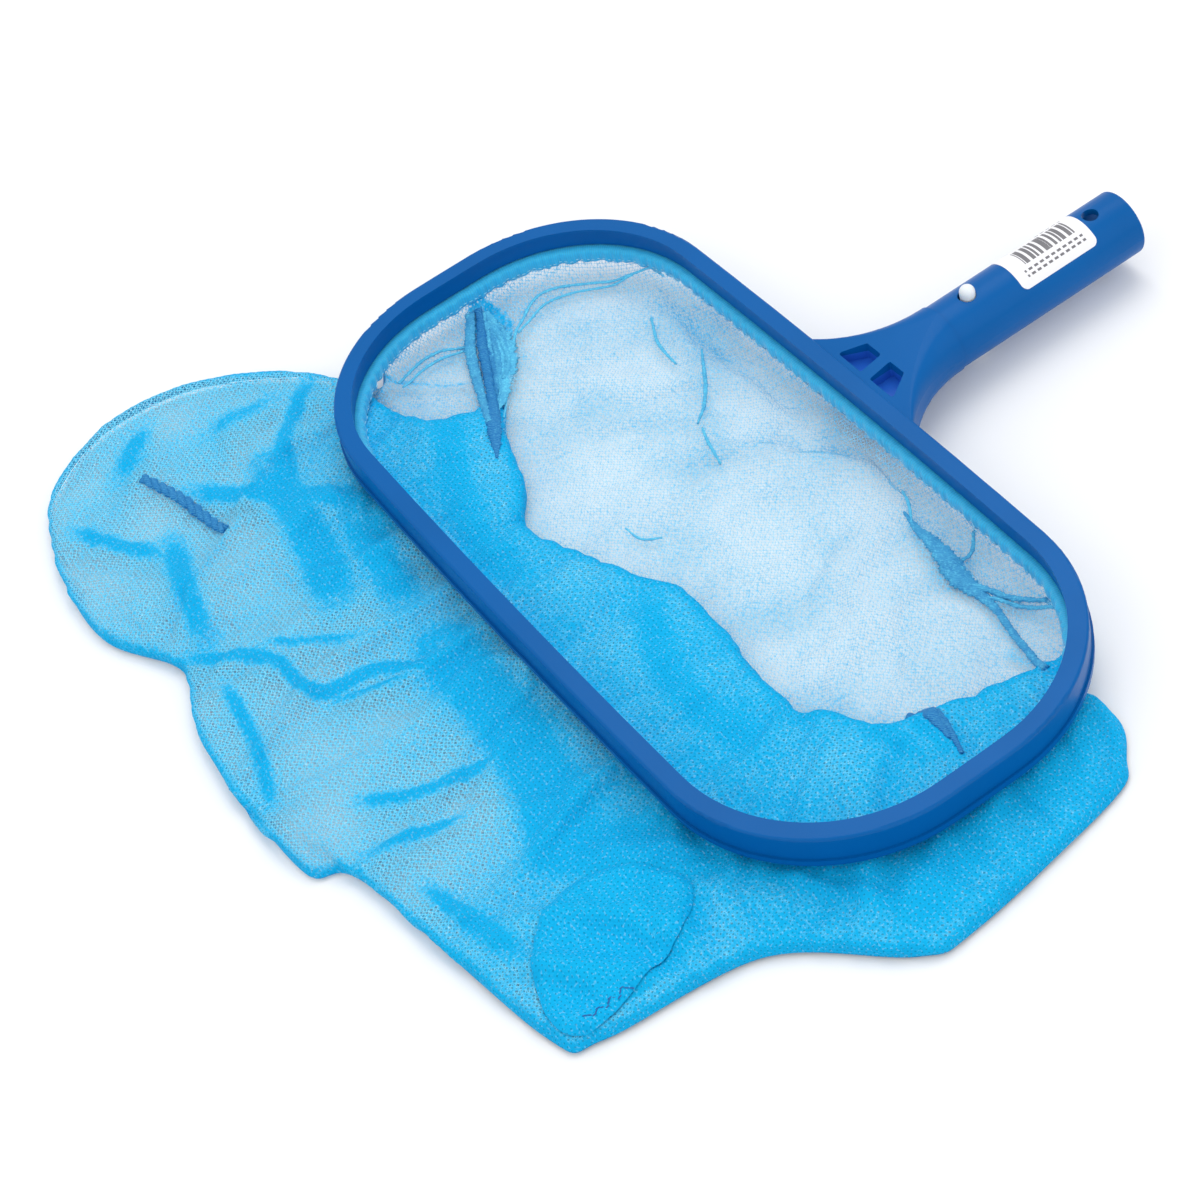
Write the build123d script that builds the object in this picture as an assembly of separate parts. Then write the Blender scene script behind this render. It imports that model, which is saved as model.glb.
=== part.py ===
from build123d import *
import math
import os

# Leaf skimmer net: a rounded rim with a flared yoke and a handle tube in one moulding, a bag of
# knitted net held in the rim's channel, and a spring clip with two snap buttons in the tube.
# Millimetres. X runs along the rim, Y towards the handle's open end, Z up. The origin is on the
# floor, under the middle of the rim's mouth.

# ---- rim ----
RIM_W = 364.0            # overall, along X
RIM_D = 174.0            # overall, along Y
RIM_H = 13.8             # height of the rim's channel
END_BOW = 2.5            # how far each end swells
SIDE_BOW = 3.3           # how far each long side swells
CORNER_R = 72.0
RIM_WALL = 2.0           # outer wall, and the thickness of both lips
TOP_LIP = 7.6            # width of the top lip, wall included
BOTTOM_LIP = 5.2
BEAD_OUT = 0.9           # the bead round the foot of the outer wall
BEAD_H = 2.6
RIM_EDGE_R = 1.2

# ---- handle tube and yoke ----
AXIS_Z = 20.0            # the tube's axis above the floor, level with the rim's middle
TUBE_R = 14.1            # slides into a pole with a bore of about 28.6
TUBE_WALL = 2.8
TUBE_LEN = 93.0          # from the shoulder to the open end
TUBE_EDGE_R = 0.8
BORE_INTO_YOKE = 8.0     # how far the bore goes on past the shoulder
SHOULDER = 0.5           # step between tube and yoke, where a pole's end stops
SHOULDER_LAP = 1.5       # length of tube buried in the yoke
YOKE_HALF_W = 34.0       # half the yoke's width at the rim
YOKE_LEN = 40.0          # from the rim to the shoulder
YOKE_DROP = 0.4          # how far the web lies below the rim's top where they meet
YOKE_EDGE_R = 1.6        # edge rounding of the yoke at the rim
YOKE_SECTIONS = 5
YOKE_ROUND = 0.995       # how nearly round the yoke starts at the shoulder
WINDOW_LEN = 10.5
WINDOW_W_RIM = 15.0      # window's width on its rim side
WINDOW_W_TUBE = 9.0      # and on its tube side
WINDOW_RIB = 5.6         # rib between the two windows
WINDOW_FLOOR = 2.4       # web left between the upper and lower windows
WINDOW_FROM_RIM = 1.6
WINDOW_CORNER_R = 1.0

# ---- spring clip and snap buttons ----
BUTTON_FROM_END = 78.5   # along the tube, from its open end
BUTTON_R = 3.2
BUTTON_OUT = 4.5         # how far a button stands out of the tube
BUTTON_SIDE_GAP = 0.6    # round a button in its hole, for the swing of its leg
BUTTON_LEAN = 0.4        # a resting button's centre from its hole's, towards the open end
SPARE_HOLE_FROM_END = 15.5
SPARE_HOLE_R = 3.5
CLIP_FROM_END = 8.0      # the clip's bend, from the open end
STRIP_W = 6.0
STRIP_T = 0.8
BEND_R = 1.6             # to the middle of the strip
CLIP_GAP = 0.3           # between a leg and the bend
LEG_BELOW_BORE = 1.5     # from a leg's middle to the bore, under its button
LEG_TIP = 4.5            # leg beyond its button

# ---- net retainer, hem and cord, inside the rim's channel ----
FIT_GAP = 0.2
CORD_R = 1.1
RETAINER_T = 2.2
HEM_FOOT_H = 2.2         # height of the hem's foot, which passes under the retainer
HEM_ROOM = 0.5           # between the foot and the retainer
HEM_SHOW = 2.4           # hem showing past the top lip
SOFT_GAP = 0.3

# ---- bag ----
NET_T = 1.2              # thickness of a panel's solid, a little more than its folds
SKIRT_INSET = 8.4        # skirt below the hem, in from the rim's outer face
SEAM_W = 5.0
SEAM_T = 0.8
BAG_EDGE = [(-140, -20), (-186, -62), (-214, -92), (-234, -150), (-206, -194), (-160, -205),
            (-120, -202), (-92, -187), (-46, -200), (8, -200), (50, -186), (100, -179),
            (148, -168), (166, -145), (174, -100), (196, -76), (216, -40), (210, 4), (206, 38),
            (176, 61), (130, 50)]
FOLD_EDGE = [(-200, -16), (-104, -28), (-52, -45), (36, -24), (106, -18), (134, 18), (146, 90)]
LEFT_SEAM = [(-160, 8), (-132, -4), (-96, -22)]
RIGHT_SEAM = [(52, 58), (92, 52), (138, 44)]
END_SEAM = [(-198, -128), (-168, -150), (-128, -160)]
BAG_FAR = 300.0          # beyond every edge of the bag

# ---- label ----
LABEL_L = 38.0
LABEL_W = 25.0           # round the tube
LABEL_T = 0.08
LABEL_FROM_END = 39.5    # to its middle

rim_bottom = AXIS_Z - RIM_H / 2
rim_top = AXIS_Z + RIM_H / 2
channel_bottom = rim_bottom + RIM_WALL
channel_top = rim_top - RIM_WALL
rim_side_y = RIM_D / 2
yoke_foot_y = rim_side_y - RIM_WALL / 2
shoulder_y = yoke_foot_y + YOKE_LEN
tube_end_y = shoulder_y + TUBE_LEN
bore_r = TUBE_R - TUBE_WALL
clip_y = tube_end_y - CLIP_FROM_END
button_hole_y = tube_end_y - BUTTON_FROM_END
button_hole_r = BUTTON_R + BUTTON_SIDE_GAP
hem_low = channel_bottom + SOFT_GAP


def bow_radius(half_chord, bow):
    """Radius of a shallow arc that rises by a bow over a half chord."""
    return (half_chord ** 2 + bow ** 2) / (2 * bow)


def inset(distance):
    """The rim's outline moved in by a distance: four shallow arcs with filleted corners."""
    side_r = bow_radius(RIM_W / 2 - END_BOW, SIDE_BOW)
    end_r = bow_radius(RIM_D / 2 - SIDE_BOW, END_BOW)
    side_disc = Circle(side_r - distance)
    end_disc = Circle(end_r - distance)
    side_centre = side_r - RIM_D / 2
    end_centre = end_r - RIM_W / 2
    outline = Pos(0, side_centre) * side_disc & Pos(0, -side_centre) * side_disc
    outline = outline & Pos(end_centre, 0) * end_disc & Pos(-end_centre, 0) * end_disc
    return fillet(outline.vertices(), CORNER_R - distance)


def ring(outer_inset, inner_inset, bottom, top):
    """A ring that follows the rim, between two insets and two heights."""
    band = inset(outer_inset) - inset(inner_inset)
    return Pos(0, 0, bottom) * extrude(band, top - bottom)


def along_tube(radius, start_y, end_y):
    """A cylinder on the tube's axis."""
    length = end_y - start_y
    turned = Rot(-90, 0, 0) * Cylinder(radius, length)
    return Pos(0, (start_y + end_y) / 2, AXIS_Z) * turned


def rim():
    wall = ring(0, RIM_WALL, rim_bottom, rim_top)
    top_lip = ring(0, TOP_LIP, channel_top, rim_top)
    bottom_lip = ring(0, BOTTOM_LIP, rim_bottom, channel_bottom)
    body = wall + top_lip + bottom_lip
    top_edges = body.faces().sort_by(Axis.Z)[-1].outer_wire().edges()
    body = fillet(top_edges, RIM_EDGE_R)
    return body + ring(-BEAD_OUT, RIM_WALL / 2, rim_bottom, rim_bottom + BEAD_H)


def yoke():
    """A loft from the round shoulder to a flat web about as high as the rim."""
    shoulder_r = TUBE_R + SHOULDER
    flare = YOKE_HALF_W - shoulder_r
    flare_r = (YOKE_LEN ** 2 + flare ** 2) / (2 * flare)
    nearly_round = shoulder_r * YOKE_ROUND
    web_half_h = RIM_H / 2 - YOKE_DROP
    sections = []
    for k in range(YOKE_SECTIONS + 1):
        share = k / YOKE_SECTIONS
        from_shoulder = share * YOKE_LEN
        half_w = shoulder_r + flare_r - math.sqrt(flare_r ** 2 - from_shoulder ** 2)
        half_h = shoulder_r + (web_half_h - shoulder_r) * share
        corner = nearly_round + (YOKE_EDGE_R - nearly_round) * share
        plane = Plane((0, shoulder_y - from_shoulder, AXIS_Z), x_dir=(1, 0, 0), z_dir=(0, -1, 0))
        sections.append(plane * RectangleRounded(2 * half_w, 2 * half_h, corner))
    return loft(sections)


def window(side, up):
    """One window of the yoke, a trapezium beside the middle rib."""
    near_y = rim_side_y + WINDOW_FROM_RIM
    far_y = near_y + WINDOW_LEN
    x0 = side * WINDOW_RIB / 2
    corners = [(x0, near_y), (x0 + side * WINDOW_W_RIM, near_y),
               (x0 + side * WINDOW_W_TUBE, far_y), (x0, far_y)]
    opening = make_face(Polyline(*corners, close=True))
    opening = fillet(opening.vertices(), WINDOW_CORNER_R)
    block = extrude(opening, 2 * TUBE_R)
    if up > 0:
        return Pos(0, 0, AXIS_Z + WINDOW_FLOOR / 2) * block
    return Pos(0, 0, AXIS_Z - WINDOW_FLOOR / 2 - 2 * TUBE_R) * block


def frame():
    tube = along_tube(TUBE_R, shoulder_y - SHOULDER_LAP, tube_end_y)
    tube = fillet(tube.edges().sort_by(Axis.Y)[-1:], TUBE_EDGE_R)
    body = rim() + yoke() + tube
    body -= along_tube(bore_r, shoulder_y - BORE_INTO_YOKE, tube_end_y + 1)
    for side in (-1, 1):
        for up in (-1, 1):
            body -= window(side, up)
    body -= Pos(0, button_hole_y, AXIS_Z) * Cylinder(button_hole_r, 4 * TUBE_R)
    spare_y = tube_end_y - SPARE_HOLE_FROM_END
    body -= Pos(0, spare_y, AXIS_Z) * Cylinder(SPARE_HOLE_R, 4 * TUBE_R)
    return body


def retainer():
    outer = RIM_WALL + FIT_GAP + 2 * CORD_R + FIT_GAP
    bottom = hem_low + HEM_FOOT_H + HEM_ROOM
    return ring(outer, outer + RETAINER_T, bottom, channel_top - FIT_GAP)


def hem_cord():
    """The cord in the hem: a round section swept round the channel."""
    middle = RIM_WALL + FIT_GAP + CORD_R
    z = channel_top - FIT_GAP - CORD_R
    path = inset(middle).face().outer_wire()
    start = path @ 0
    plane = Plane((start.X, start.Y, 0), z_dir=path % 0)
    section = plane * Circle(CORD_R)
    return Pos(0, 0, z) * sweep(section, path=path)


def hem_binding():
    """The sewn band: a wall behind the retainer and a foot that shows past the lip."""
    outer = RIM_WALL + FIT_GAP
    inner = outer + 2 * CORD_R
    high = channel_top - FIT_GAP - 2 * CORD_R - SOFT_GAP
    wall = ring(outer, inner, hem_low, high)
    foot = ring(outer, TOP_LIP + HEM_SHOW, hem_low, hem_low + HEM_FOOT_H)
    return wall + foot


def bag_face():
    """The floor that the bag covers: inside the skirt, and the bag pulled out beside the rim."""
    edge = Spline(*BAG_EDGE)
    closing = Line(BAG_EDGE[-1], BAG_EDGE[0])
    return inset(SKIRT_INSET) + make_face([edge, closing])


def folded_face():
    """The side of the fold on which the upper panel lies."""
    fold = Spline(*FOLD_EDGE)
    left, right = FOLD_EDGE[0], FOLD_EDGE[-1]
    way_round = Polyline(right, (BAG_FAR, right[1]), (BAG_FAR, -BAG_FAR), (-BAG_FAR, -BAG_FAR),
                         (-BAG_FAR, left[1]), left)
    return make_face([fold, way_round])


def net_panels():
    """The lower panel on the floor and the upper panel on it, each with its half of the skirt."""
    skirt_top = channel_bottom - SOFT_GAP / 2
    lower_top = NET_T
    upper_bottom = lower_top + SOFT_GAP
    upper_top = upper_bottom + NET_T
    skirt = inset(SKIRT_INSET) - inset(SKIRT_INSET + NET_T)
    lower = extrude(bag_face(), lower_top)
    lower += Pos(0, 0, lower_top) * extrude(skirt - folded_face(), skirt_top - lower_top)
    upper = Pos(0, 0, upper_bottom) * extrude(bag_face() & folded_face(), upper_top - upper_bottom)
    upper += Pos(0, 0, upper_top) * extrude(skirt & folded_face(), skirt_top - upper_top)
    return lower, upper


def seam(points, bottom):
    """A flat seam tape that lies on a panel, along an arc through three points."""
    path = ThreePointArc(*points)
    tape = offset(path, SEAM_W / 2, side=Side.BOTH)
    return Pos(0, 0, bottom) * extrude(make_face(tape), SEAM_T)


def leg_line(up):
    """Where a leg's middle starts and ends, as (y, z), and its direction."""
    over_button_z = bore_r - LEG_BELOW_BORE
    start = Vector(0, clip_y, AXIS_Z + up * BEND_R)
    over_button = Vector(0, button_hole_y, AXIS_Z + up * over_button_z)
    return start, (over_button - start).normalized()


def clip_leg(up):
    start, along = leg_line(up)
    length = BUTTON_FROM_END - CLIP_FROM_END + LEG_TIP
    middle = start + along * (CLIP_GAP + length / 2)
    strip = Box(STRIP_W, length, STRIP_T)
    plane = Plane(middle, x_dir=(1, 0, 0), z_dir=Vector(1, 0, 0).cross(along))
    return plane * strip


def clip_bend():
    bow = Circle(BEND_R + STRIP_T / 2) - Circle(BEND_R - STRIP_T / 2)
    half = bow & Pos(BEND_R, 0) * Rectangle(2 * BEND_R, 4 * BEND_R)
    plane = Plane((-STRIP_W / 2, clip_y, AXIS_Z), x_dir=(0, 1, 0), z_dir=(1, 0, 0))
    return plane * extrude(half, STRIP_W)


def button(up):
    """A snap button: a stem from its leg through the tube's wall, and a domed end."""
    centre_y = button_hole_y + BUTTON_LEAN
    dome_z = TUBE_R + BUTTON_OUT - BUTTON_R
    stem_start = bore_r / 2
    stem = Pos(0, 0, (stem_start + dome_z) / 2) * Cylinder(BUTTON_R, dome_z - stem_start)
    shape = stem + Pos(0, 0, dome_z) * Sphere(BUTTON_R)
    if up < 0:
        shape = mirror(shape, Plane.XY)
    shape = Pos(0, centre_y, AXIS_Z) * shape
    start, along = leg_line(up)
    outward = Vector(1, 0, 0).cross(along)
    if outward.Z * up < 0:
        outward = outward * -1
    seat = Plane(start + outward * (STRIP_T / 2), x_dir=(1, 0, 0), z_dir=outward)
    return split(shape, bisect_by=seat, keep=Keep.TOP)


def label():
    """A sticker on the top of the tube."""
    half_turn = LABEL_W / (TUBE_R + LABEL_T) / 2
    reach = 2 * TUBE_R
    y0 = tube_end_y - LABEL_FROM_END - LABEL_L / 2
    skin = along_tube(TUBE_R + LABEL_T, y0, y0 + LABEL_L)
    skin -= along_tube(TUBE_R, y0 - 1, y0 + LABEL_L + 1)
    side = reach * math.sin(half_turn)
    rise = reach * math.cos(half_turn)
    wedge = make_face(Polyline((0, 0), (side, rise), (side, 2 * reach), (-side, 2 * reach),
                               (-side, rise), close=True))
    plane = Plane((0, y0 + LABEL_L, AXIS_Z), x_dir=(1, 0, 0), z_dir=(0, -1, 0))
    return skin & (plane * extrude(wedge, LABEL_L))


def build():
    lower, upper = net_panels()
    on_lower = NET_T
    on_upper = NET_T + SOFT_GAP + NET_T
    return {
        "frame": frame(),
        "net_retainer": retainer(),
        "hem_cord": hem_cord(),
        "hem_binding": hem_binding(),
        "net_lower_panel": lower,
        "net_upper_panel": upper,
        "side_seam_left": seam(LEFT_SEAM, on_lower),
        "side_seam_right": seam(RIGHT_SEAM, on_lower),
        "end_seam": seam(END_SEAM, on_upper),
        "clip_bend": clip_bend(),
        "clip_leg_top": clip_leg(1),
        "clip_leg_bottom": clip_leg(-1),
        "button_top": button(1),
        "button_bottom": button(-1),
        "label": label(),
    }


os.makedirs("parts", exist_ok=True)
for name, shape in build().items():
    export_step(shape, "parts/" + name + ".step")
    print(name, round(shape.volume, 1), [round(v, 1) for v in shape.bounding_box().size])
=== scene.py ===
"""A leaf skimmer net: its moulded frame, its knitted bag, the hem, the seams and the snap-button clip."""

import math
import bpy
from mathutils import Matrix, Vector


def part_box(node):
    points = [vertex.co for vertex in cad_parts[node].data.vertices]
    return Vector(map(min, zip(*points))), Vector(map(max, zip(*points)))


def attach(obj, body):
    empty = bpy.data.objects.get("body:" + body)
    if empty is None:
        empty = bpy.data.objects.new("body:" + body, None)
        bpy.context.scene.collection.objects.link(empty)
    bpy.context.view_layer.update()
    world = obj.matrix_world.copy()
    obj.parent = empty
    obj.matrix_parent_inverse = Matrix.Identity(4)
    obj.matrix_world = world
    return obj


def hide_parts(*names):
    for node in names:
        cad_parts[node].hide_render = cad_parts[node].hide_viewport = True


bl_info = {
    "name": "Leaf Skimmer Net",
    "version": (1, 0, 0),
    "blender": (4, 5, 0),
    "location": "View3D > Sidebar > Skimmer Net",
    "description": "Builds the net bag, hem and seams of a leaf skimmer round its frame",
    "category": "Object",
}

import bmesh
import bpy
import numpy as np
from mathutils import Matrix, Vector, geometry
from mathutils.bvhtree import BVHTree

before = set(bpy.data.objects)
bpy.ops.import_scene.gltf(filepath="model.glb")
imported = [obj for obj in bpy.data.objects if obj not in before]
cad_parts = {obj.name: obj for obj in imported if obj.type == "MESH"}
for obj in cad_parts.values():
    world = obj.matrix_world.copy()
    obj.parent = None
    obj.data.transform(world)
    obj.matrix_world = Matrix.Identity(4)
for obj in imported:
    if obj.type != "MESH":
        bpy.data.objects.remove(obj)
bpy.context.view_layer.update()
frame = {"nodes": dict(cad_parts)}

MM = 0.001

# ---- sizes read from the frame ----
_, retainer_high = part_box("net_retainer")
_, panel_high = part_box("net_lower_panel")
RETAINER_INSET = 4.6 * MM            # the retainer's outer face, in from the rim's
HALF_W = retainer_high.x + RETAINER_INSET
HALF_D = retainer_high.y + RETAINER_INSET
END_BOW = 2.5 * MM
SIDE_BOW = 3.3 * MM
CORNER_R = 72 * MM
SKIRT_INSET = 8.4 * MM               # where the net leaves the hem
HEM_HANG = 4.2 * MM                  # from the panel's top in the CAD down to the hem's lower edge
SKIRT_TOP = panel_high.z - HEM_HANG
LABEL_R = 14.18 * MM                 # radius of the label's outer face

# ---- how the plies lie, one on the other ----
LOWER_LIE = 1.2 * MM
UPPER_LIE = 3.4 * MM
INNER_LIE = 5.0 * MM
BAG_RIM_LIE = 1.6 * MM               # the upper ply at the bag's outline
FOLD_LIE = 2.4 * MM                  # the upper ply at its fold
INNER_FOLD_LIE = 3.0 * MM            # the inner ply at the same fold
SKIRT_REACH = 9 * MM                 # how far in from the hem the net takes to come down
FOLD_REACH = 14 * MM                 # how far from the fold a ply takes to level out
ON_LINE = 0.3 * MM                   # a point nearer than this counts as on a line
LAID_SLACK = 1.25                    # the upper ply's share of the slack

# ---- the bag as it lies on the floor, in millimetres ----
BAG_EDGE = [(-140, -20), (-170, -50), (-200, -70), (-230, -110), (-235, -150), (-220, -180), (-200, -195),
            (-160, -205), (-125, -205), (-95, -190), (-80, -190), (-45, -200), (30, -200), (50, -185),
            (150, -170), (165, -155), (175, -95), (210, -55), (215, -35), (205, 35), (195, 50), (175, 60),
            (130, 50)]
FOLD_EDGE = [(-200, -50), (-160, -55), (-140, -50), (-125, -35), (-120, -15), (-100, -25), (-70, -35),
             (-55, -45), (-40, -45), (5, -30), (30, -20), (90, -25), (110, -15), (130, 0), (145, 50),
             (150, 85)]
SIDE_LOBE = [(-175, 5), (-165, 15), (-150, 10), (-115, -20), (-105, -30), (-140, -10)]

# Strands of gathered net. Each is a line of (x, y, width, height) and its shade, from 0, light, to 1, dark.
LEFT_SEAM = [([(-174, 8, 3, 2), (-152, -4, 4.5, 3), (-126, -16, 4, 3), (-102, -28, 6, 2),
               (-88, -36, 1, 0.5)], 1.0),
             ([(-170, 8, 5, 1), (-148, 2, 13, 1), (-130, -8, 10, 1), (-108, -26, 2, 0.6)], 0.35),
             ([(-168, 8, 1.6, 1.6), (-142, 2, 2.6, 2), (-128, -8, 2, 1.6)], 0.4),
             ([(-174, 4, 4, 2), (-152, -10, 5, 2.2), (-106, -28, 3, 1.6)], 0.55),
             ([(-168, 6, 1.4, 1.2), (-154, 8, 1.8, 1.4), (-132, -6, 1.6, 1.2), (-108, -28, 1.2, 1)],
              0.45),
             ([(-162, 6, 2, 1.2), (-140, -4, 3.4, 1.8), (-120, -18, 2, 1)], 0.6),
             ([(-158, 0, 2, 1), (-136, -8, 3, 1.6), (-114, -22, 2, 1)], 0.8),
             ([(-110, -20, 1, 1), (-148, 10, 1.4, 1), (-160, 36, 1.4, 1), (-130, 76, 1.2, 1)], 0.15),
             ([(-148, 12, 1, 1), (-156, 34, 1.2, 1), (-138, 66, 1, 1)], 0.1),
             ([(-160, -8, 1.2, 1), (-166, -24, 1.6, 1.2), (-160, -42, 1.2, 1)], 0.25),
             ([(-158, -10, 1.2, 1), (-162, -24, 1.4, 1), (-156, -42, 1, 1)], 0.2)]
RIGHT_SEAM = [([(50, 65, 1, 1), (76, 62, 7, 2.4), (90, 60, 9, 3), (110, 60, 3.4, 2), (150, 52, 3, 2)], 0.6),
              ([(84, 61, 1, 1.6), (96, 61, 2.6, 2.6), (128, 75, 1.8, 1.4)], 0.5),
              ([(104, 61, 1.4, 1.4), (118, 68, 1.8, 1.4), (132, 73, 1.6, 1.2)], 0.4),
              ([(77, 78, 1.2, 1), (83, 72, 1.6, 1.2), (84, 65, 1.4, 1.2)], 0.45),
              ([(40, 72, 1, 1), (48, 69, 1.4, 1), (56, 64, 1, 1)], 0.15)]
END_SEAM = [(-190, -152, 2.6, 2.2), (-160, -144, 3.2, 2.6), (-136, -140, 2.4, 2)]
PINCHES = [([(-114, 58, 1, 1), (-98, 51, 1.5, 1.2), (-84, 50, 1, 1)], 0.25),
           ([(-82, 62, 1, 1), (-62, 50, 1.8, 1.3), (-48, 36, 1, 1)], 0.35),
           ([(-45, 36, 1, 1), (-34, 32, 1.4, 1.1), (-24, 30, 1, 1)], 0.25),
           ([(-22, -18, 0.7, 0.7), (-14, -16, 1.1, 0.9), (-8, -10, 0.7, 0.7)], 0.15)]
DARK_PLEATS = [([(128, 5, 3, 2), (136, 9, 6, 2.6), (152, 7, 1.5, 1)], 1.0),
               ([(132, 13, 1.6, 1.2), (146, 10, 2.6, 1.8), (160, 6, 1.6, 1.2)], 1.0)]
CORNER_FLAP = [(108, -132), (124, -156), (148, -166), (162, -160), (160, -138), (152, -110), (135, -97),
               (115, -112)]
FLAP_STITCHES = [(157, -156), (157, -138)]


# Bands where a ply is drawn together: a line, how strong it is, and half its width in millimetres.
UPPER_FOLDS = [([(-150, -160), (-90, -175)], 1.0, 5),
               ([(-155, -110), (-110, -115), (-70, -125)], 1.0, 8),
               ([(-190, -70), (-165, -95), (-135, -110)], 0.9, 3.5),
               ([(-170, -140), (-110, -90)], 0.9, 5),
               ([(-185, -190), (-145, -165)], 0.8, 4),
               ([(-220, -135), (-200, -160)], 0.8, 5),
               ([(-195, -120), (-190, -85)], 0.5, 5),
               ([(-105, -95), (-50, -105)], 0.7, 8),
               ([(-70, -160), (-45, -125)], 0.6, 2.5),
               ([(-90, -185), (-60, -160), (-35, -155), (-30, -130), (-10, -110)], 1.0, 3),
               ([(-30, -155), (-15, -120)], 0.6, 2.5),
               ([(-65, -180), (-30, -185), (0, -195)], 0.8, 3),
               ([(20, -170), (35, -145), (40, -115)], 0.8, 3),
               ([(45, -180), (55, -140)], 0.8, 3),
               ([(-20, -105), (50, -110), (90, -120)], 1.0, 12),
               ([(70, -170), (120, -160)], 0.8, 3.5),
               ([(90, -125), (135, -75)], 1.0, 9),
               ([(175, 40), (180, -10), (195, -40)], 0.9, 8),
               ([(150, -75), (195, -45)], 1.0, 3),
               ([(150, -65), (175, -45)], 0.7, 6),
               ([(145, -100), (155, -115), (160, -140)], 0.8, 3),
               ([(170, 55), (185, 30)], 0.5, 6)]
INNER_FOLDS = [([(125, 5), (155, 5)], 1.0, 3),
               ([(120, -10), (150, -5)], 0.8, 3),
               ([(-125, -40), (-60, -65), (-20, -65)], 0.5, 6),
               ([(20, -35), (60, -50), (110, -45)], 0.5, 6)]
LOWER_FOLDS = [([(-110, 55), (-85, 50)], 0.5, 3),
               ([(-85, 55), (-55, 45), (-25, 35)], 0.5, 3)]


# ---------------------------------------------------------------- settings
def colour(name, description, default):
    return bpy.props.FloatVectorProperty(name=name, description=description, subtype="COLOR",
                                         default=default, min=0, max=1)


def distance(name, description, default, least=0.0):
    return bpy.props.FloatProperty(name=name, description=description, subtype="DISTANCE",
                                   default=default, min=least)


class FrameSettings(bpy.types.PropertyGroup):
    plastic: colour("Plastic", "Colour of the moulded frame", (0.0, 0.108, 0.37))
    # Painted shade: a colour for the deep part of the yoke's windows, standing in for the shade in the
    # pockets.
    window_shade: colour("Recess", "Colour in the yoke's windows", (0.02, 0.14, 0.60))
    roughness: bpy.props.FloatProperty(
        name="Roughness", description="Roughness of the moulded surface", default=0.34, min=0, max=1)


class NetSettings(bpy.types.PropertyGroup):
    spacing: distance("Spacing", "Distance between the points of a cloth panel", 4.2 * MM, 2 * MM)
    slack: bpy.props.FloatProperty(
        name="Slack", description="How much larger a panel's cut is than the floor it covers",
        subtype="FACTOR", default=0.07, min=0, max=0.2)
    pitch: distance("Pitch", "Distance from one hole of the knit to the next", 1.9 * MM, 0.5 * MM)
    thin: colour("Single ply", "Colour of the yarn where one ply lies alone", (0.30, 0.66, 0.86))
    # Painted light: the folded colour is a brighter copy of the same yarn, set against the shade between the
    # plies.
    folded: colour("Folded ply", "Colour of the yarn where a ply lies loosely on another", (0.22, 0.76, 1.0))
    dense: colour("Gathered", "Colour of the yarn where plies lie together", (0.0, 0.44, 0.80))
    frames: bpy.props.IntProperty(
        name="Frames", description="Length of the cloth simulation", default=26, min=2)


class HemSettings(bpy.types.PropertyGroup):
    pucker: distance("Pucker", "Height of the hem's puckers", 0.55 * MM)
    stitch_pitch: distance("Stitch pitch", "From one stitch of the hem to the next", 2.6 * MM, 0.8 * MM)
    pucker_length: distance("Pucker length", "From one pucker to the next", 6.0 * MM, 1 * MM)
    colour: colour("Hem", "Colour of the hem", (0.02, 0.56, 0.95))


class SeamSettings(bpy.types.PropertyGroup):
    gathers: distance("Gathers", "From one gather of a seam to the next", 2.3 * MM, 0.8 * MM)
    stitch: distance("Stitch", "Length of one stitch", 2.4 * MM, 0.5 * MM)
    light: colour("Light", "Colour of a thin fold", (0.10, 0.52, 0.80))
    dark: colour("Dark", "Colour of a thick gather", (0.0, 0.12, 0.42))


class ClipSettings(bpy.types.PropertyGroup):
    steel: colour("Steel", "Colour of the spring strip", (0.62, 0.63, 0.66))
    button: colour("Button", "Colour of the snap buttons", (0.86, 0.87, 0.88))
    paper: colour("Label", "Colour of the label", (0.88, 0.87, 0.89))


class StageSettings(bpy.types.PropertyGroup):
    azimuth: bpy.props.FloatProperty(
        name="Azimuth", description="Where the camera stands, round from +X",
        subtype="ANGLE", default=math.radians(-20.502))
    elevation: bpy.props.FloatProperty(
        name="Elevation", description="How far the camera looks down", subtype="ANGLE",
        default=math.radians(47.257))
    roll: bpy.props.FloatProperty(
        name="Roll", description="How far the camera leans", subtype="ANGLE", default=math.radians(-18.0))
    distance: bpy.props.FloatProperty(
        name="Distance", description="From the camera to its target", subtype="DISTANCE", default=1.03186)
    target: bpy.props.FloatVectorProperty(
        name="Target", description="The point on the camera's axis", subtype="TRANSLATION",
        default=(21.51 * MM, -53.61 * MM, 26.9 * MM))
    lens: bpy.props.FloatProperty(
        name="Lens", description="Focal length on a 36 mm sensor", unit="CAMERA", default=82.83)
    floor: bpy.props.FloatProperty(
        name="Floor", description="Brightness of the pale floor", default=0.93, min=0, max=1)


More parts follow.
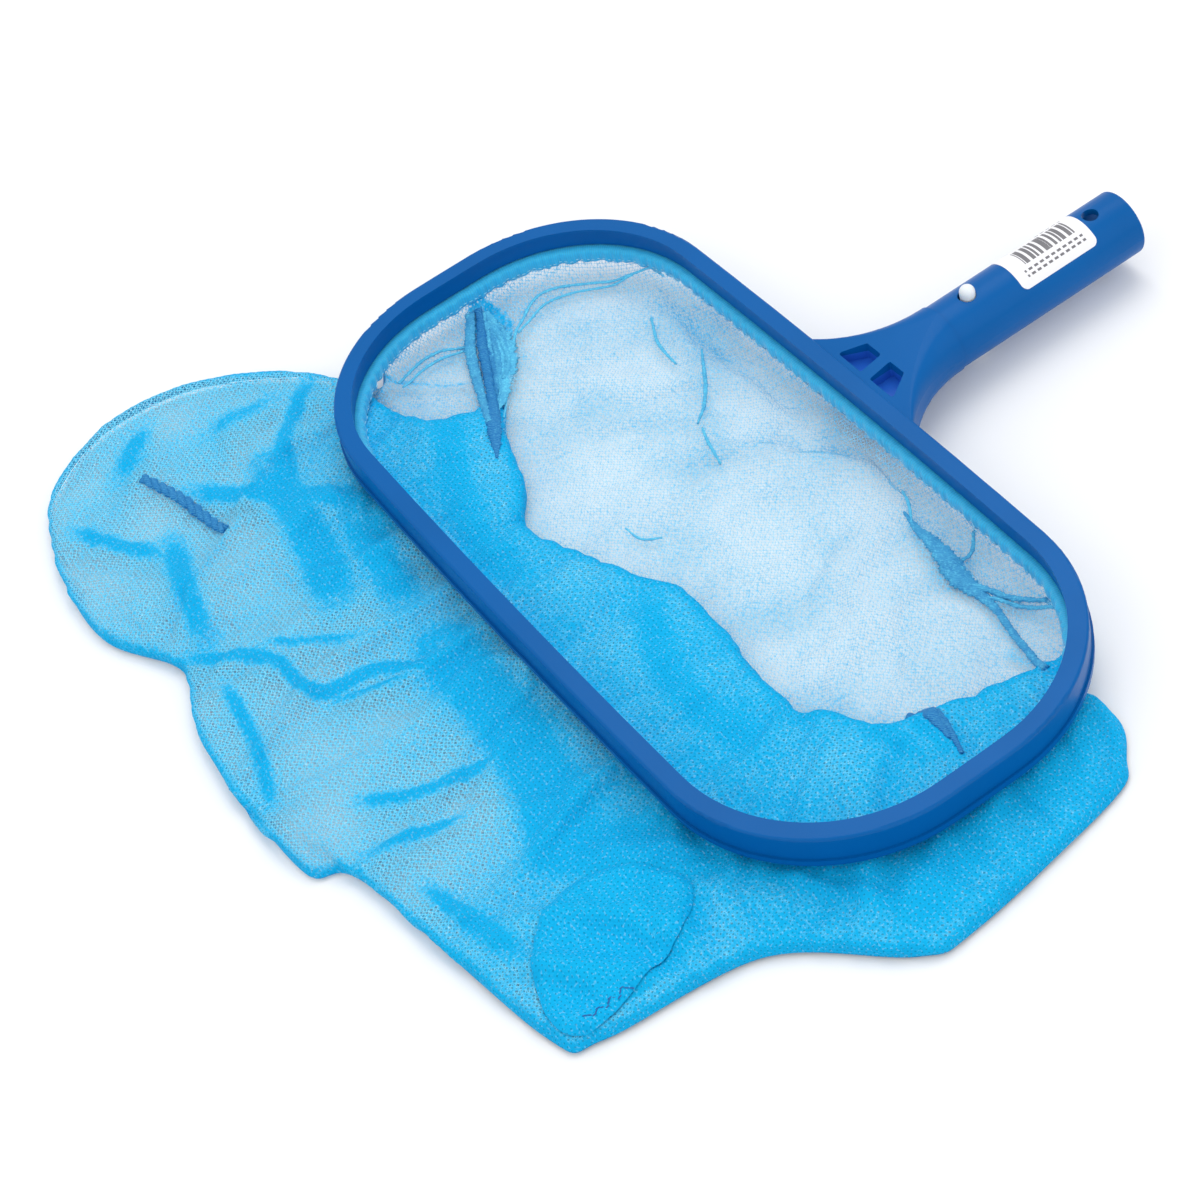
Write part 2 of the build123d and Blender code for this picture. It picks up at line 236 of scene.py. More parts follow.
# ---------------------------------------------------------------- shader maths
class Wire:
    """An output of a node. Arithmetic on it adds Math nodes."""

    def __init__(self, paint, socket):
        self.paint = paint
        self.socket = socket

    def math(self, operation, *values):
        inputs = {i: v for i, v in enumerate(values)}
        return self.paint.add("ShaderNodeMath", {"operation": operation}, inputs)

    def __add__(self, other):
        return self.math("ADD", self, other)

    def __radd__(self, other):
        return self.math("ADD", other, self)

    def __sub__(self, other):
        return self.math("SUBTRACT", self, other)

    def __rsub__(self, other):
        return self.math("SUBTRACT", other, self)

    def __mul__(self, other):
        return self.math("MULTIPLY", self, other)

    def __truediv__(self, other):
        return self.math("DIVIDE", self, other)

    def __gt__(self, other):
        return self.math("GREATER_THAN", self, other)

    def __lt__(self, other):
        return self.math("LESS_THAN", self, other)

    def __abs__(self):
        return self.math("ABSOLUTE", self)

    def wave(self, period):
        """Distance to the nearest whole number of periods, from 0 to half a period, as 0 to 1."""
        return self.math("PINGPONG", self, period / 2) * (2 / period)

    def top(self, other):
        return self.math("MAXIMUM", self, other)

    def low(self, other):
        return self.math("MINIMUM", self, other)

    def ramp(self, start, end):
        """0 up to start, 1 from end."""
        inputs = {"Value": self, "From Min": start, "From Max": end}
        settings = {"clamp": True, "interpolation_type": "SMOOTHSTEP"}
        return self.paint.add("ShaderNodeMapRange", settings, inputs)


class Paint:
    """One material and the nodes in it."""

    def __init__(self, name, **constants):
        self.material = bpy.data.materials.new(name)
        self.material.use_nodes = True
        tree = self.material.node_tree
        self.nodes = tree.nodes
        self.links = tree.links
        self.shader = self.nodes["Principled BSDF"]
        for socket, value in constants.items():
            self.feed(self.shader.inputs[socket.replace("_", " ")], value)

    def feed(self, socket, value):
        if isinstance(value, Wire):
            self.links.new(value.socket, socket)
        elif hasattr(value, "__len__") and socket.type == "RGBA":
            socket.default_value = (*tuple(value)[:3], 1.0)
        else:
            socket.default_value = value

    def add(self, kind, settings=None, inputs=None, output=0):
        made = self.nodes.new(kind)
        for name, value in (settings or {}).items():
            setattr(made, name, value)
        for name, value in (inputs or {}).items():
            self.feed(made.inputs[name], value)
        return Wire(self, made.outputs[output])

    def xyz(self, source="Object"):
        """The three parts of the object coordinates, or of the piece's own UV map."""
        place = self.add("ShaderNodeTexCoord", output=source)
        split = self.add("ShaderNodeSeparateXYZ", inputs={0: place})
        return [Wire(self, out) for out in split.socket.node.outputs]

    def noise(self, scale, detail=3.0, source="Object"):
        place = self.add("ShaderNodeTexCoord", output=source)
        return self.add("ShaderNodeTexNoise", None, {"Vector": place, "Scale": scale, "Detail": detail})

    def attribute(self, name):
        return self.add("ShaderNodeAttribute", {"attribute_name": name}, output="Fac")

    def blend(self, factor, a, b):
        made = self.nodes.new("ShaderNodeMix")
        made.data_type = "RGBA"
        for index, value in ((0, factor), (6, a), (7, b)):
            self.feed(made.inputs[index], value)
        return Wire(self, made.outputs[2])

    def bump(self, height, distance, strength=1.0):
        inputs = {"Height": height, "Distance": distance, "Strength": strength}
        self.links.new(self.add("ShaderNodeBump", None, inputs).socket, self.shader.inputs["Normal"])

    def set(self, socket, value):
        self.feed(self.shader.inputs[socket], value)


def dress(obj, material):
    """One material all over a piece."""
    obj.data.materials.clear()
    obj.data.materials.append(material)


# ---------------------------------------------------------------- the rim's outline
def bow_radius(half_chord, bow):
    return (half_chord ** 2 + bow ** 2) / (2 * bow)


SIDE_R = bow_radius(HALF_W - END_BOW, SIDE_BOW)
END_R = bow_radius(HALF_D - SIDE_BOW, END_BOW)
SIDE_CENTRE = np.array([0.0, HALF_D - SIDE_R])
END_CENTRE = np.array([HALF_W - END_R, 0.0])


def corner_centre():
    """Centre of the corner's arc, which touches the side's arc and the end's arc from inside."""
    a, b = SIDE_R - CORNER_R, END_R - CORNER_R
    between = END_CENTRE - SIDE_CENTRE
    apart = np.linalg.norm(between)
    along = (a * a - b * b + apart * apart) / (2 * apart)
    out = math.sqrt(a * a - along * along)
    unit = between / apart
    return SIDE_CENTRE + unit * along + np.array([unit[1], -unit[0]]) * out


CORNER_CENTRE = corner_centre()


def depth_inside(points):
    """How far each point lies inside the rim's outer face."""
    p = np.abs(np.asarray(points, float))
    to_side = SIDE_R - np.linalg.norm(p - SIDE_CENTRE, axis=1)
    to_end = END_R - np.linalg.norm(p - END_CENTRE, axis=1)
    from_corner = p - CORNER_CENTRE
    end_way, side_way = CORNER_CENTRE - END_CENTRE, CORNER_CENTRE - SIDE_CENTRE
    past_end = end_way[0] * from_corner[:, 1] - end_way[1] * from_corner[:, 0] > 0
    past_side = side_way[0] * from_corner[:, 1] - side_way[1] * from_corner[:, 0] < 0
    to_corner = CORNER_R - np.linalg.norm(from_corner, axis=1)
    return np.where(past_end & past_side, to_corner, np.minimum(to_side, to_end))


def rim_line(inset, step):
    """A closed line of points that follows the rim at an inset."""
    to_end, to_side = CORNER_CENTRE - END_CENTRE, CORNER_CENTRE - SIDE_CENTRE
    end_angle, side_angle = math.atan2(to_end[1], to_end[0]), math.atan2(to_side[1], to_side[0])
    arcs = [(END_CENTRE, END_R - inset, 0.0, end_angle),
            (CORNER_CENTRE, CORNER_R - inset, end_angle, side_angle),
            (SIDE_CENTRE, SIDE_R - inset, side_angle, math.pi / 2)]
    quarter = []
    for centre, radius, start, end in arcs:
        count = max(2, round(radius * (end - start) / step))
        for angle in np.linspace(start, end, count, endpoint=False):
            quarter.append(centre + radius * np.array([math.cos(angle), math.sin(angle)]))
    quarter = np.array(quarter)
    top = np.array([[0.0, HALF_D - inset]])
    right_up = np.vstack([quarter, top])
    left_up = right_up[-2::-1] * [-1, 1]
    left_down = right_up[1:] * [-1, -1]
    right_down = right_up[-2:0:-1] * [1, -1]
    return np.vstack([right_up, left_up, left_down, right_down])


# ---------------------------------------------------------------- lines and regions
def smooth_line(points, step, closed=False):
    """A smooth line through points given in millimetres, with a point about every step."""
    p = np.asarray(points, float) * MM
    if closed:
        p = np.vstack([p[-1], p, p[:2]])
    else:
        p = np.vstack([2 * p[0] - p[1], p, 2 * p[-1] - p[-2]])
    fine = []
    for a, b, c, d in zip(p[:-3], p[1:-2], p[2:-1], p[3:]):
        t = np.linspace(0, 1, 24, endpoint=False)[:, None]
        fine.append(0.5 * (2 * b + (c - a) * t + (2 * a - 5 * b + 4 * c - d) * t ** 2
                           + (3 * b - a - 3 * c + d) * t ** 3))
    fine = np.vstack(fine + [p[-2][None]])
    return even_line(fine, step)


def even_line(line, step):
    """The same line with its points evenly spaced."""
    along = np.concatenate([[0], np.cumsum(np.linalg.norm(np.diff(line, axis=0), axis=1))])
    at = np.linspace(0, along[-1], max(2, round(along[-1] / step) + 1))
    return np.stack([np.interp(at, along, line[:, k]) for k in range(line.shape[1])], axis=1)


def inside_loop(points, loop):
    """Which points lie inside a closed loop."""
    x, y = np.asarray(points, float).T
    inside = np.zeros(len(x), bool)
    for (x0, y0), (x1, y1) in zip(loop, np.roll(loop, -1, axis=0)):
        crosses = (y0 > y) != (y1 > y)
        if y1 != y0:
            inside ^= crosses & (x < (x1 - x0) * (y - y0) / (y1 - y0) + x0)
    return inside


def distance_to(points, line):
    """How far each point lies from a line of points."""
    p = np.asarray(points, float)
    best = np.full(len(p), np.inf)
    for a, b in zip(line[:-1], line[1:]):
        d = b - a
        t = np.clip(((p - a) @ d) / max(d @ d, 1e-12), 0, 1)
        best = np.minimum(best, np.linalg.norm(p - a - t[:, None] * d, axis=1))
    return best


FAR = 0.4                            # beyond every edge of the bag
bag_loop = smooth_line(BAG_EDGE, 2.5 * MM)
fold_line = smooth_line(FOLD_EDGE, 2.5 * MM)
way_round = [(FAR, fold_line[-1, 1]), (FAR, -FAR), (-FAR, -FAR), (-FAR, fold_line[0, 1])]
folded_loop = np.vstack([fold_line, way_round])
flap_loop = smooth_line(CORNER_FLAP, 2.5 * MM, closed=True)


def in_mouth(points):
    return depth_inside(points) > SKIRT_INSET


def in_bag(points):
    return inside_loop(points, bag_loop)


def in_lower(points):
    return in_mouth(points) | in_bag(points)


def in_folded(points):
    return inside_loop(points, folded_loop)


def in_upper(points):
    return in_lower(points) & in_folded(points)


def in_inner(points):
    return in_mouth(points) & in_folded(points)


def in_flap(points):
    return inside_loop(points, flap_loop)


def edge_points(line, region):
    """The points of a line that lie on a region's edge."""
    way = np.gradient(line, axis=0)
    way /= np.maximum(np.linalg.norm(way, axis=1), 1e-12)[:, None]
    side = np.stack([-way[:, 1], way[:, 0]], axis=1) * 0.05 * MM
    return line[region(line + side) ^ region(line - side)]


def panel(name, region, lines, spacing, rows=()):
    """A flat object of even triangles that fills a region, with rows of points along given lines."""
    edge = np.vstack([edge_points(line, region) for line in lines])
    for row_line in rows:
        inner = row_line[region(row_line)]
        clear = np.array([np.min(np.sum((edge - p) ** 2, axis=1)) for p in inner]) > (1.6 * MM) ** 2
        edge = np.vstack([edge, inner[clear]])
    row = spacing * math.sqrt(3) / 2
    x = np.arange(-0.26, 0.26, spacing)
    y = np.arange(-0.24, 0.12, row)
    gx, gy = np.meshgrid(x, y)
    gx = gx + (np.arange(len(y)) % 2)[:, None] * spacing / 2
    grid = np.stack([gx.ravel(), gy.ravel()], axis=1)
    grid = grid[region(grid)]
    grid = grid[np.array([np.min(np.sum((edge - p) ** 2, axis=1)) for p in grid]) > (0.6 * spacing) ** 2]
    points = np.vstack([edge, grid])
    cut = geometry.delaunay_2d_cdt([Vector(p) for p in points], [], [], 0, 1e-7)
    verts = np.array([v[:] for v in cut[0]])
    faces = np.array([f for f in cut[2] if len(f) == 3])
    faces = faces[region(verts[faces].mean(axis=1))]
    used, faces = np.unique(faces, return_inverse=True)
    verts, faces = verts[used], faces.reshape(-1, 3)
    a, b, c = (verts[faces[:, i]] for i in range(3))
    turned = (b - a)[:, 0] * (c - a)[:, 1] - (b - a)[:, 1] * (c - a)[:, 0] < 0
    faces[turned] = faces[turned][:, ::-1]
    mesh = bpy.data.meshes.new(name)
    mesh.from_pydata([(x, y, 0.0) for x, y in verts], [], faces.tolist())
    obj = bpy.data.objects.new(name, mesh)
    bpy.context.scene.collection.objects.link(obj)
    return obj, verts


def flat_area(obj):
    return sum(p.area for p in obj.data.polygons)


def place_heights(obj, heights):
    for v, z in zip(obj.data.vertices, heights):
        v.co.z = z


def store(obj, name, values):
    found = obj.data.attributes.get(name) or obj.data.attributes.new(name, "FLOAT", "POINT")
    found.data.foreach_set("value", np.asarray(values, np.float32))


def read_points(obj):
    co = np.zeros(len(obj.data.vertices) * 3, np.float32)
    obj.data.vertices.foreach_get("co", co)
    return co.reshape(-1, 3).astype(float)


def write_points(obj, points):
    obj.data.vertices.foreach_set("co", np.asarray(points, np.float32).ravel())
    obj.data.update()


def flat_map(obj, verts):
    """The panel's own UV map: its flat cut, in metres."""
    layer = obj.data.uv_layers.new(name="cut")
    for loop in obj.data.loops:
        layer.data[loop.index].uv = verts[loop.vertex_index]


def ruffle(points, seed, size):
    """A repeatable uneven height for each point, from a few crossing waves."""
    rng = np.random.default_rng(seed)
    total = np.zeros(len(points))
    for _ in range(9):
        angle = rng.uniform(0, math.pi)
        length = rng.uniform(34, 120) * MM
        phase = rng.uniform(0, 2 * math.pi)
        way = np.array([math.cos(angle), math.sin(angle)])
        total += np.sin(2 * math.pi * (points @ way) / length + phase)
    return total * size / 3


def weigh(obj, name, weights):
    group = obj.vertex_groups.new(name=name)
    for i, weight in enumerate(weights):
        if weight > 0:
            group.add([i], float(weight), "REPLACE")


def settle(obj, pins, tight, slack, frames, on):
    """Cloth simulation: the panel, held by its pins, gathers and settles on what lies below it."""
    weigh(obj, "pins", pins)
    weigh(obj, "tight", tight)
    cloth = obj.modifiers.new("Cloth", "CLOTH")
    s = cloth.settings
    s.quality = 6
    s.mass = 0.12
    s.air_damping = 2.0
    s.tension_stiffness = 12
    s.compression_stiffness = 12
    s.shear_stiffness = 4
    s.bending_stiffness = 0.5
    s.tension_damping = 8
    s.compression_damping = 8
    s.shear_damping = 8
    s.bending_damping = 0.6
    s.vertex_group_mass = "pins"
    s.pin_stiffness = 1.0
    s.vertex_group_shrink = "tight"
    s.shrink_min = -slack
    s.shrink_max = 0.0
    cloth.collision_settings.use_collision = True
    cloth.collision_settings.distance_min = 0.6 * MM
    cloth.collision_settings.collision_quality = 3
    cloth.collision_settings.friction = 12
    cloth.point_cache.frame_start = 1
    cloth.point_cache.frame_end = frames
    for below in on:
        below.modifiers.new("Collision", "COLLISION")
        below.collision.thickness_outer = 0.5 * MM
        below.collision.thickness_inner = 2 * MM
        below.collision.cloth_friction = 12
    scene = bpy.context.scene
    for f in range(1, frames + 1):
        scene.frame_set(f)
    evaluated = obj.evaluated_get(bpy.context.evaluated_depsgraph_get())
    settled = np.array([v.co for v in evaluated.data.vertices], float)
    obj.modifiers.clear()
    write_points(obj, settled)
    obj.vertex_groups.clear()
    for below in on:
        below.modifiers.clear()
    scene.frame_set(1)


def near_edge(points, line):
    """1 on a line, falling to 0 a little way from it."""
    return np.clip(1.4 - distance_to(points, line) / (12 * MM), 0, 1)


def finer(obj):
    """One level of smooth subdivision, applied."""
    smooth = obj.modifiers.new("Smooth", "SUBSURF")
    smooth.levels = smooth.render_levels = 1
    bpy.context.view_layer.update()
    mesh = bpy.data.meshes.new_from_object(obj.evaluated_get(bpy.context.evaluated_depsgraph_get()))
    obj.modifiers.clear()
    obj.data = mesh


def raise_folds(obj, folds, height):
    """Raises the folds, highest in the middle of each, and gives how near each point is to one."""
    points = read_points(obj)
    near = np.zeros(len(points))
    for fold, share, half_width in folds:
        line = smooth_line(fold, 3 * MM)
        away = distance_to(points[:, :2], line)
        ends = np.minimum(np.linalg.norm(points[:, :2] - line[0], axis=1),
                          np.linalg.norm(points[:, :2] - line[-1], axis=1))
        taper = np.clip(ends / (14 * MM) + 0.25, 0, 1)
        near = np.maximum(near, np.exp(-(away / (half_width * MM)) ** 2) * taper * share)
    points[:, 2] += near * height
    write_points(obj, points)
    return near


def creases(obj, reach):
    """How sharply the cloth bends at each point, from 0 to 1."""
    mesh = obj.data
    points = read_points(obj)
    edges = np.array([e.vertices[:] for e in mesh.edges])
    total, count = np.zeros((len(points), 3)), np.zeros(len(points))
    for a, b in ((0, 1), (1, 0)):
        np.add.at(total, edges[:, a], points[edges[:, b]])
        np.add.at(count, edges[:, a], 1)
    off = np.linalg.norm(total / count[:, None] - points, axis=1)
    for _ in range(2):
        spread, n = off.copy(), np.ones(len(points))
        for a, b in ((0, 1), (1, 0)):
            np.add.at(spread, edges[:, a], off[edges[:, b]])
            np.add.at(n, edges[:, a], 1)
        off = spread / n
    return np.clip(off / reach, 0, 1)


def surface_trees(objects):
    return [BVHTree.FromPolygons(read_points(o).tolist(), [p.vertices[:] for p in o.data.polygons])
            for o in objects]


def heights_on(trees, xy):
    """Height of the topmost cloth under each point."""
    found = np.full(len(xy), 1.5 * MM)
    for i, (x, y) in enumerate(xy):
        for tree in trees:
            hit = tree.ray_cast(Vector((x, y, 0.1)), Vector((0, 0, -1)))[0]
            if hit is not None:
                found[i] = max(found[i], hit.z)
    return found


def tube(centre, width, height, shape):
    """Points and faces of a closed, flattened tube along a line. shape(ring, angle) swells it."""
    way = np.gradient(centre, axis=0)
    way /= np.linalg.norm(way, axis=1)[:, None]
    side = np.cross([0.0, 0.0, 1.0], way)
    side /= np.linalg.norm(side, axis=1)[:, None]
    up = np.cross(way, side)
    angles = np.linspace(0, 2 * math.pi, 12, endpoint=False)
    rings = []
    for i, place in enumerate(centre):
        for angle in angles:
            swell = shape(i, angle)
            rings.append(place + side[i] * math.cos(angle) * width[i] / 2 * swell
                         + up[i] * math.sin(angle) * height[i] / 2 * swell)
    n, count = len(angles), len(centre)
    faces = [(r * n + k, r * n + (k + 1) % n, (r + 1) * n + (k + 1) % n, (r + 1) * n + k)
             for r in range(count - 1) for k in range(n)]
    first, last = n * count, n * count + 1
    points = np.vstack([rings, [centre[0], centre[-1]]])
    faces += [(first, (k + 1) % n, k) for k in range(n)]
    faces += [(last, (count - 1) * n + k, (count - 1) * n + (k + 1) % n) for k in range(n)]
    return points, faces


def strand(path, trees, gathers, seed, turn=0.0, lay=0.0, offset=0.0):
    """One gathered strand of net lying on the cloth. With a lay it winds round its line at an offset."""
    rng = np.random.default_rng(seed)
    line = smooth_line(path, 0.8 * MM)
    width, height = np.maximum(line[:, 2], 0.5 * MM), np.maximum(line[:, 3], 0.4 * MM)
    z = heights_on(trees, line[:, :2])
    padded = np.pad(z, 4, mode="edge")
    z = np.convolve(padded, np.ones(9) / 9, mode="valid")
    centre = np.column_stack([line[:, :2], z + height * 0.3])
    along = np.concatenate([[0], np.cumsum(np.linalg.norm(np.diff(centre, axis=0), axis=1))])
    if lay:
        way = np.gradient(centre, axis=0)
        side = np.stack([-way[:, 1], way[:, 0], np.zeros(len(way))], axis=1)
        side /= np.linalg.norm(side, axis=1)[:, None]
        angle = along / lay * 2 * math.pi + turn
        centre = centre + side * (np.cos(angle) * offset)[:, None]
        centre[:, 2] += (np.sin(angle) * 0.5 + 0.5) * offset
    a, b, c = rng.uniform(0, 6, 3)

    def shape(i, angle):
        s = along[i]
        fine = math.sin(2 * math.pi * s / gathers + 1.7 * math.sin(s / (1.9 * MM) + a) + b)
        return 1 + 0.13 * fine + 0.09 * math.sin(2 * angle + s / (1.1 * MM) + c)

    return tube(centre, width, height, shape)


def gathered(name, strands):
    """A piece made of several strands, each a (points, faces) pair and its shade."""
    points, faces, shades = [], [], []
    for (p, f), shade in strands:
        start = sum(len(q) for q in points)
        points.append(p)
        faces += [tuple(start + v for v in face) for face in f]
        shades += [shade] * len(p)
    obj = solid(name, np.vstack(points), faces)
    store(obj, "shade", shades)
    return obj


def solid(name, points, faces):
    """An object from points and faces, smooth, with its faces turned outwards."""
    mesh = bpy.data.meshes.new(name)
    mesh.from_pydata(np.asarray(points).tolist(), [], faces)
    made = bmesh.new()
    made.from_mesh(mesh)
    bmesh.ops.recalc_face_normals(made, faces=made.faces)
    made.to_mesh(mesh)
    made.free()
    mesh.shade_smooth()
    obj = bpy.data.objects.new(name, mesh)
    bpy.context.scene.collection.objects.link(obj)
    return obj


# The hem's section, as (inset, height) in millimetres: its foot in the channel, and the part that hangs
# inside the bottom lip.
HEM_SECTION = [(3.0, 15.5), (3.0, 17.4), (8.6, 17.5), (9.6, 17.1), (10.1, 15.9), (10.0, 14.2), (9.8, 12.4),
               (9.6, 11.0), (9.2, 10.5), (8.8, 11.0), (8.7, 13.4), (8.5, 15.0), (6.0, 15.4)]
HEM_STITCH_ROW = 6                   # the point of the section that carries the stitches


def hem_rings(pucker, pucker_length):
    """The hem's points, ring by ring, puckered where it shows."""
    outline = rim_line(0.0, 1.2 * MM)
    way = np.roll(outline, -1, axis=0) - np.roll(outline, 1, axis=0)
    way /= np.linalg.norm(way, axis=1)[:, None]
    inward = np.stack([-way[:, 1], way[:, 0]], axis=1)
    along = np.concatenate([[0], np.cumsum(np.linalg.norm(np.diff(outline, axis=0), axis=1))])
    total = along[-1] + np.linalg.norm(outline[0] - outline[-1])
    folds = round(total / pucker_length)
    turn = along / total * 2 * math.pi
    wave = np.sin(turn * folds + 1.3 * np.sin(turn * 31) + 0.9 * np.sin(turn * 53 + 1))
    drop = np.sin(turn * (folds // 2) + 1.1 * np.sin(turn * 23))
    rings = np.zeros((len(outline), len(HEM_SECTION), 3))
    for k, (inset, z) in enumerate(HEM_SECTION):
        shown = min(max((inset - 8.0) / 1.5, 0), 1)
        low = min(max((14.0 - z) / 3.0, 0), 1)
        reach = inset * MM + wave * pucker * shown
        rings[:, k, :2] = outline + inward * reach[:, None]
        rings[:, k, 2] = z * MM + drop * pucker * 0.8 * low
    return rings, along


# ---------------------------------------------------------------- stitches
class StitchTree:
    """Geometry Nodes that lay a stitch at every pitch along a line of edges."""

    def __init__(self, material):
        self.tree = bpy.data.node_groups.new("stitches", "GeometryNodeTree")
        face = self.tree.interface
        face.new_socket("Line", in_out="INPUT", socket_type="NodeSocketGeometry")
        self.inputs = {}
        for name, kind, value in (("Pitch", "NodeSocketFloat", 2.6 * MM),
                                  ("Length", "NodeSocketFloat", 1.7 * MM),
                                  ("Thickness", "NodeSocketFloat", 0.4 * MM),
                                  ("Lean", "NodeSocketFloat", 0.12),
                                  ("Seed", "NodeSocketInt", 5)):
            socket = face.new_socket(name, in_out="INPUT", socket_type=kind)
            socket.default_value = value
            self.inputs[name] = socket.identifier
        face.new_socket("Stitches", in_out="OUTPUT", socket_type="NodeSocketGeometry")
        given = self.add("NodeGroupInput").outputs
        curve = self.add("GeometryNodeMeshToCurve", None, {"Mesh": given["Line"]}).outputs["Curve"]
        even = self.add("GeometryNodeResampleCurve", {"mode": "LENGTH"},
                        {"Curve": curve, "Length": given["Pitch"]})
        tangent = self.add("GeometryNodeInputTangent").outputs["Tangent"]
        lean = self.add("ShaderNodeMath", {"operation": "MULTIPLY"}, {0: given["Lean"], 1: -1.0}).outputs[0]
        stray = self.add("FunctionNodeRandomValue", {"data_type": "FLOAT_VECTOR"}, {"Seed": given["Seed"]})
        low = self.add("ShaderNodeCombineXYZ", None, {k: lean for k in range(3)}).outputs[0]
        high = self.add("ShaderNodeCombineXYZ", None, {k: given["Lean"] for k in range(3)}).outputs[0]
        self.feed(stray.inputs[0], low)
        self.feed(stray.inputs[1], high)
        aim = self.add("ShaderNodeVectorMath", {"operation": "ADD"},
                       {0: tangent, 1: stray.outputs[0]}).outputs[0]
        turned = self.add("FunctionNodeAlignRotationToVector", {"axis": "Z"}, {"Vector": aim}).outputs[0]
        ball = self.add("GeometryNodeMeshUVSphere", None,
                        {"Segments": 6, "Rings": 5, "Radius": 0.5}).outputs["Mesh"]
        size = self.add("ShaderNodeCombineXYZ", None,
                        {0: given["Thickness"], 1: given["Thickness"], 2: given["Length"]})
        laid = self.add("GeometryNodeInstanceOnPoints", None,
                        {"Points": even.outputs["Curve"], "Instance": ball, "Rotation": turned,
                         "Scale": size.outputs[0]}).outputs["Instances"]
        real = self.add("GeometryNodeRealizeInstances", None, {"Geometry": laid}).outputs["Geometry"]
        done = self.add("GeometryNodeSetMaterial", None,
                        {"Geometry": real, "Material": material}).outputs["Geometry"]
        self.feed(self.add("NodeGroupOutput").inputs["Stitches"], done)

    def feed(self, socket, value):
        if hasattr(value, "is_output"):
            self.tree.links.new(value, socket)
        else:
            socket.default_value = value

    def add(self, kind, settings=None, inputs=None):
        made = self.tree.nodes.new(kind)
        for name, value in (settings or {}).items():
            setattr(made, name, value)
        for name, value in (inputs or {}).items():
            self.feed(made.inputs[name], value)
        return made

    def sew(self, name, lines, **sizes):
        """A mesh of stitches along each line of points."""
        points, edges = [], []
        for line in lines:
            start = len(points)
            points += [tuple(p) for p in line]
            edges += [(start + i, start + i + 1) for i in range(len(line) - 1)]
        mesh = bpy.data.meshes.new(name)
        mesh.from_pydata(points, edges, [])
        obj = bpy.data.objects.new(name, mesh)
        bpy.context.scene.collection.objects.link(obj)
        nodes = obj.modifiers.new("Stitches", "NODES")
        nodes.node_group = self.tree
        for label, value in sizes.items():
            nodes[self.inputs[label]] = value
        bpy.context.view_layer.update()
        made = bpy.data.meshes.new_from_object(obj.evaluated_get(bpy.context.evaluated_depsgraph_get()))
        obj.modifiers.clear()
        obj.data = made
        return obj


# ---------------------------------------------------------------- materials
def plastic_paint(name, colour, window_shade, roughness):
    paint = Paint(name, Roughness=roughness, IOR=1.49, Specular_IOR_Level=0.10)
    x, y, z = paint.xyz()
    flow = paint.noise(22.0, 2.0)
    grain = paint.noise(900.0, 2.0)
    shade = paint.blend((flow - 0.35) * 0.9, colour, [c * 0.72 for c in colour])
    # Painted shade: the lower part of the yoke's window pockets takes the window colour in place of the
    # plastic's.
    window = (y > HALF_D + 1.4 * MM) * (y < HALF_D + 12.3 * MM) * (abs(x) < 17.9 * MM) * (abs(x) > 2.7 * MM)
    shaded_pocket = window * (z < retainer_high.z + 0.4 * MM)
    paint.set("Base Color", paint.blend(shaded_pocket, shade, window_shade))
    paint.set("Roughness", roughness + (grain - 0.5) * 0.10 + (flow - 0.5) * 0.08)
    paint.bump(grain, 0.03 * MM, 0.6)
    paint.set("Coat Weight", 0.05)
    paint.set("Coat Roughness", 0.12)
    return paint.material


def net_paint(name, settings, thin):
    """Knitted mesh: yarn and holes from the flat cut, denser and deeper in colour where it is gathered, with
    painted shade along its creases.
    """
    paint = Paint(name, Roughness=0.7, Specular_IOR_Level=0.12)
    u, v, _ = paint.xyz("UV")
    pitch = settings.pitch
    wobble = (paint.noise(210.0, 1.0, "UV") - 0.5) * (0.9 * pitch)
    along, across = u + wobble, v + wobble * 0.7
    rising = (along + across).wave(pitch)
    falling = (along - across).wave(pitch)
    column = across.wave(pitch)
    gather = paint.attribute("gather")
    crease = paint.attribute("crease")
    patch = paint.noise(26.0, 3.0, "UV")
    grain = paint.noise(520.0, 1.0, "UV")
    tight = (gather + crease * 0.7 + (patch - 0.5) * 0.7 + (grain - 0.5) * 1.1).ramp(-0.1, 1.0)
    width = 0.12 + tight * 0.44
    yarn = (rising < width).top(falling < width).top(column < width * 0.55)
    fuzz = 0.02 + tight * 0.66
    paint.set("Alpha", yarn.top(fuzz))
    fleck = paint.noise(900.0, 1.0, "UV").ramp(0.58, 0.72)
    # The yarn colour given here is brighter for plies lying on others: painted light.
    colour = paint.blend(tight, thin, settings.dense)
    # Painted shade: the yarn darkens further towards deep blue along creases and folds, over the denser yarn
    # there.
    colour = paint.blend(crease * 0.45, colour, (0.0, 0.26, 0.62))
    paint.set("Base Color", paint.blend(fleck * (0.5 - tight * 0.32), colour, (0.62, 0.88, 0.98)))
    paint.bump(rising.low(falling), 0.25 * MM, 0.7)
    return paint.material


def hem_paint(colour):
    paint = Paint("hem_tape", Roughness=0.5, Sheen_Weight=0.25)
    u, v, _ = paint.xyz("UV")
    rib = u.wave(1.1 * MM)
    weave = v.wave(0.7 * MM)
    tone = paint.noise(60.0, 2.0)
    paint.set("Base Color", paint.blend((rib * 0.5 + tone * 0.5), [c * 0.72 for c in colour], colour))
    paint.bump(rib.top(weave), 0.15 * MM, 0.8)
    return paint.material


def thread_paint(name, colour):
    paint = Paint(name, Roughness=0.45)
    x, y, z = paint.xyz()
    twist = (x + y + z).wave(0.5 * MM)
    paint.set("Base Color", paint.blend(twist * 0.5, colour, [min(1, c * 1.6 + 0.03) for c in colour]))
    paint.bump(twist, 0.06 * MM)
    return paint.material


